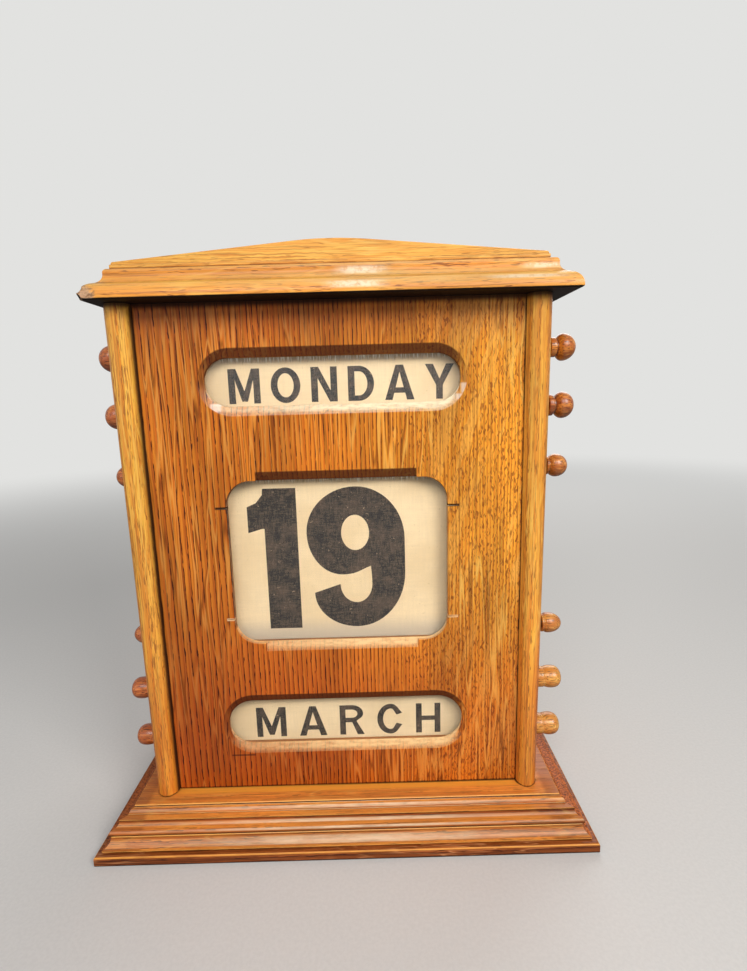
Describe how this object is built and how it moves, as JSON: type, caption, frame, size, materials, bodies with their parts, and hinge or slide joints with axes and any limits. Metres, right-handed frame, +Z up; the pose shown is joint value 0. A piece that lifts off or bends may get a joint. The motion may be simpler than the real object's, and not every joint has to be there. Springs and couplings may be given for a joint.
{
  "type": "perpetual desk calendar",
  "caption": "Oak perpetual desk calendar: three linen scrolls on knob-turned rollers show the day, date and month through windows in the front of a moulded case.",
  "frame": {"origin": "middle of the base's footprint, on its underside", "axes": "+X to the calendar's right as seen from the front, +Y from front to back, +Z up"},
  "size_m": [0.3118, 0.143, 0.3678],
  "materials": {
    "oak_panel": "gloss",
    "oak_side": "gloss",
    "oak_base": "gloss",
    "oak_top": "gloss",
    "oak_back": "satin",
    "pine_block": "matt",
    "bead_wood": "matt",
    "dowel_wood": "matt",
    "knob_wood": "gloss",
    "linen": "matt",
    "glass": "clear",
    "brass_screw": "aged",
    "steel_screw": "aged"
  },
  "bodies": {
    "case": {"plinth_board": "oak_base", "base_board": "oak_base", "left_side_board": "oak_side", "right_side_board": "oak_side", "front_panel": "oak_panel", "back_panel": "oak_back", "cornice_board": "oak_top", "gable_block": "oak_top", "corner_blocks": "pine_block", "back_screws": "brass_screw", "base_screws": "steel_screw", "day_glass": "glass", "day_glazing_beads": "bead_wood", "day_linen": "linen", "date_glass": "glass", "date_glazing_beads": "bead_wood", "date_linen": "linen", "month_glass": "glass", "month_glazing_beads": "bead_wood", "month_linen": "linen"},
    "day_upper": {"day_upper_roller": "dowel_wood", "day_upper_wound_linen": "linen", "day_upper_left_knob": "knob_wood", "day_upper_right_knob": "knob_wood"},
    "day_lower": {"day_lower_roller": "dowel_wood", "day_lower_wound_linen": "linen", "day_lower_left_knob": "knob_wood", "day_lower_right_knob": "knob_wood"},
    "date_upper": {"date_upper_roller": "dowel_wood", "date_upper_wound_linen": "linen", "date_upper_left_knob": "knob_wood", "date_upper_right_knob": "knob_wood"},
    "date_lower": {"date_lower_roller": "dowel_wood", "date_lower_wound_linen": "linen", "date_lower_left_knob": "knob_wood", "date_lower_right_knob": "knob_wood"},
    "month_upper": {"month_upper_roller": "dowel_wood", "month_upper_wound_linen": "linen", "month_upper_left_knob": "knob_wood", "month_upper_right_knob": "knob_wood"},
    "month_lower": {"month_lower_roller": "dowel_wood", "month_lower_wound_linen": "linen", "month_lower_left_knob": "knob_wood", "month_lower_right_knob": "knob_wood"}
  },
  "joints": [
    {"name": "day_upper_turn", "type": "hinge", "parent": "case", "child": "day_upper", "pos_m": [0, -0.01745, 0.3076], "axis": [1, 0, 0], "range_deg": [-798.4, 159.7]},
    {"name": "day_lower_turn", "type": "hinge", "parent": "case", "child": "day_lower", "pos_m": [0, -0.01745, 0.2724], "axis": [1, 0, 0], "range_deg": [-798.4, 159.7]},
    {"name": "date_upper_turn", "type": "hinge", "parent": "case", "child": "date_upper", "pos_m": [0, -0.01745, 0.2344], "axis": [1, 0, 0], "range_deg": [-6311.9, 9467.9]},
    {"name": "date_lower_turn", "type": "hinge", "parent": "case", "child": "date_lower", "pos_m": [0, -0.01745, 0.1272], "axis": [1, 0, 0], "range_deg": [-6311.9, 9467.9]},
    {"name": "month_upper_turn", "type": "hinge", "parent": "case", "child": "month_upper", "pos_m": [0, -0.01745, 0.0876], "axis": [1, 0, 0], "range_deg": [-1014.4, 845.3]},
    {"name": "month_lower_turn", "type": "hinge", "parent": "case", "child": "month_lower", "pos_m": [0, -0.01745, 0.052], "axis": [1, 0, 0], "range_deg": [-1014.4, 845.3]}
  ],
  "couplings": [
    {"joint": "day_lower_turn", "follows": "day_upper_turn", "ratio": 1},
    {"joint": "date_lower_turn", "follows": "date_upper_turn", "ratio": 1},
    {"joint": "month_lower_turn", "follows": "month_upper_turn", "ratio": 1}
  ]
}
